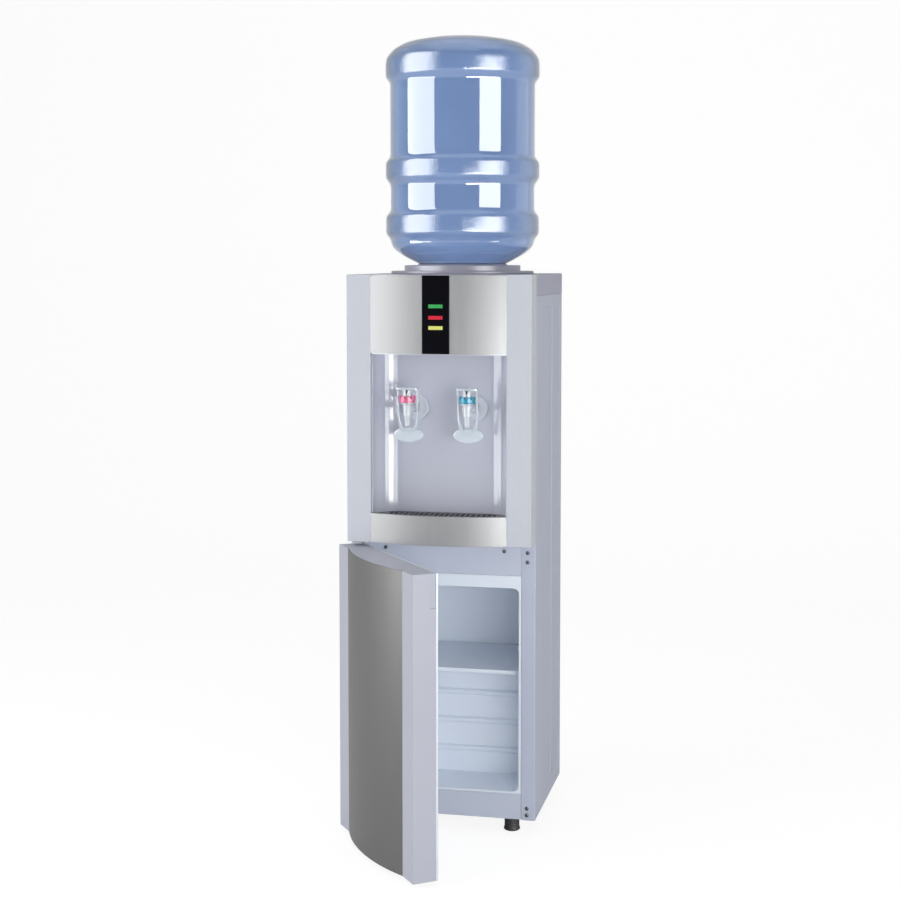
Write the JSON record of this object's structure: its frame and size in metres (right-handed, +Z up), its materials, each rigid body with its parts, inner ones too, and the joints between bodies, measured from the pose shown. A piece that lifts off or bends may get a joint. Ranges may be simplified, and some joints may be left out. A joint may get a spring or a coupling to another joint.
{
  "type": "water cooler",
  "caption": "Floor-standing water cooler: an upturned bottle on a tall cabinet, two lever taps in a niche over a drip tray, and a storage cabinet with a hinged, bowed door below.",
  "frame": {"origin": "on the floor, under the middle of the steel cabinet with its front covers, without the open door", "axes": "+X to the right as seen from the front, +Y to the back, +Z up"},
  "size_m": [0.3372, 0.5741, 1.38],
  "materials": {
    "steel_white": "satin",
    "steel_plain": "matte",
    "steel_black": "satin",
    "steel_bright": "satin",
    "fascia_metal": "satin",
    "door_metal": "satin",
    "zinc": "satin",
    "plastic_white": "gloss",
    "plastic_lid": "gloss",
    "plastic_niche": "gloss",
    "plastic_seat": "satin",
    "plastic_liner": "satin",
    "plastic_black": "gloss",
    "plastic_grey": "matte",
    "plastic_frost": "satin",
    "plastic_clear": "gloss",
    "ring_hot": "satin",
    "ring_cold": "satin",
    "lamp_green": "gloss",
    "lamp_red": "gloss",
    "lamp_yellow": "gloss",
    "rocker_red": "gloss",
    "rocker_green": "gloss",
    "foam": "matte",
    "copper": "satin",
    "brass": "satin",
    "board": "satin",
    "hose": "satin",
    "rubber_dark": "matte",
    "rubber_pale": "matte",
    "bottle_blue": "gloss",
    "cap_blue": "satin",
    "screw_dark": "satin"
  },
  "bodies": {
    "cabinet": {"base_pan": "steel_plain", "feet": "rubber_dark", "side_panel_left": "steel_white", "side_panel_right": "steel_white", "back_panel": "steel_plain", "top_cover": "plastic_lid", "bottle_seat": "plastic_seat", "water_guard": "plastic_white", "front_cover": "plastic_white", "tap_niche": "plastic_niche", "fascia": "fascia_metal", "indicator_strip": "plastic_black", "lamp_green": "lamp_green", "lamp_red": "lamp_red", "lamp_yellow": "lamp_yellow", "circuit_boards": "board", "tray_trim": "fascia_metal", "front_frame": "steel_white", "cabinet_liner": "plastic_liner", "cabinet_foam": "foam", "hinge_brackets": "zinc", "condenser": "steel_black", "compressor": "steel_black", "compressor_mounts": "rubber_dark", "refrigerant_lines": "copper", "cold_tank": "steel_bright", "evaporator_coil": "copper", "cold_tank_foam": "foam", "hot_tank": "steel_bright", "hot_tank_foam": "foam", "heater_band": "brass", "tap_body_hot": "plastic_frost", "tap_body_cold": "plastic_frost", "tap_ring_hot": "ring_hot", "tap_ring_cold": "ring_cold", "tap_nuts": "plastic_white", "tap_hoses": "hose", "tank_hoses": "hose", "switch_housings": "plastic_black", "cord_gland": "rubber_dark", "screws": "screw_dark", "drain_spout": "plastic_white"},
    "door": {"door_shell": "plastic_white", "door_panel": "door_metal", "door_plate": "plastic_liner", "door_foam": "foam", "door_gasket": "rubber_pale"},
    "lever_hot": {"tap_lever_hot": "plastic_clear"},
    "lever_cold": {"tap_lever_cold": "plastic_clear"},
    "stem_hot": {"tap_stem_hot": "plastic_grey"},
    "stem_cold": {"tap_stem_cold": "plastic_grey"},
    "drip_tray": {"drip_tray": "plastic_grey"},
    "drip_grille": {"drip_grille": "plastic_grey"},
    "shelf": {"shelf": "plastic_liner"},
    "bottle": {"bottle": "bottle_blue", "bottle_cap": "cap_blue"},
    "rocker_heat": {"rocker_heat": "rocker_red"},
    "rocker_cool": {"rocker_cool": "rocker_green"},
    "drain_cap": {"drain_cap": "plastic_white"}
  },
  "joints": [
    {"name": "door_swing", "type": "hinge", "parent": "cabinet", "child": "door", "pos_m": [-0.1533, -0.1401, 0.25], "axis": [0, 0, -1], "range_deg": [-53, 60]},
    {"name": "drip_tray_lift", "type": "slide", "parent": "cabinet", "child": "drip_tray", "axis": [0, 0, 1], "range_m": [0, 0.06]},
    {"name": "drip_grille_lift", "type": "slide", "parent": "drip_tray", "child": "drip_grille", "axis": [0, 0, 1], "range_m": [0, 0.03]},
    {"name": "shelf_slide", "type": "slide", "parent": "cabinet", "child": "shelf", "axis": [0, -1, 0], "range_m": [0, 0.024]},
    {"name": "bottle_lift", "type": "slide", "parent": "cabinet", "child": "bottle", "axis": [0, 0, 1], "range_m": [0, 0.12]},
    {"name": "drain_cap_turn", "type": "hinge", "parent": "cabinet", "child": "drain_cap", "pos_m": [-0.072, 0.155, 0.526], "axis": [0, 1, 0], "continuous": true},
    {"name": "lever_hot_press", "type": "hinge", "parent": "cabinet", "child": "lever_hot", "pos_m": [-0.0515, -0.1816, 0.7722], "axis": [1, 0, 0], "range_deg": [0, 12], "stiffness_Nm_per_rad": 0.25, "springref_deg": -5.73},
    {"name": "stem_hot_lift", "type": "slide", "parent": "cabinet", "child": "stem_hot", "axis": [0, 0, 1], "range_m": [0, 0.0027]},
    {"name": "lever_cold_press", "type": "hinge", "parent": "cabinet", "child": "lever_cold", "pos_m": [0.0515, -0.1816, 0.7722], "axis": [1, 0, 0], "range_deg": [0, 12], "stiffness_Nm_per_rad": 0.25, "springref_deg": -5.73},
    {"name": "stem_cold_lift", "type": "slide", "parent": "cabinet", "child": "stem_cold", "axis": [0, 0, 1], "range_m": [0, 0.0027]},
    {"name": "rocker_heat_press", "type": "hinge", "parent": "cabinet", "child": "rocker_heat", "pos_m": [0.092, 0.1465, 0.526], "axis": [-1, 0, 0], "range_deg": [0, 16]},
    {"name": "rocker_cool_press", "type": "hinge", "parent": "cabinet", "child": "rocker_cool", "pos_m": [0.122, 0.1465, 0.526], "axis": [-1, 0, 0], "range_deg": [0, 16]}
  ],
  "couplings": [
    {"joint": "stem_hot_lift", "follows": "lever_hot_press", "m_per_rad": 0.01252},
    {"joint": "stem_cold_lift", "follows": "lever_cold_press", "m_per_rad": 0.01252}
  ]
}
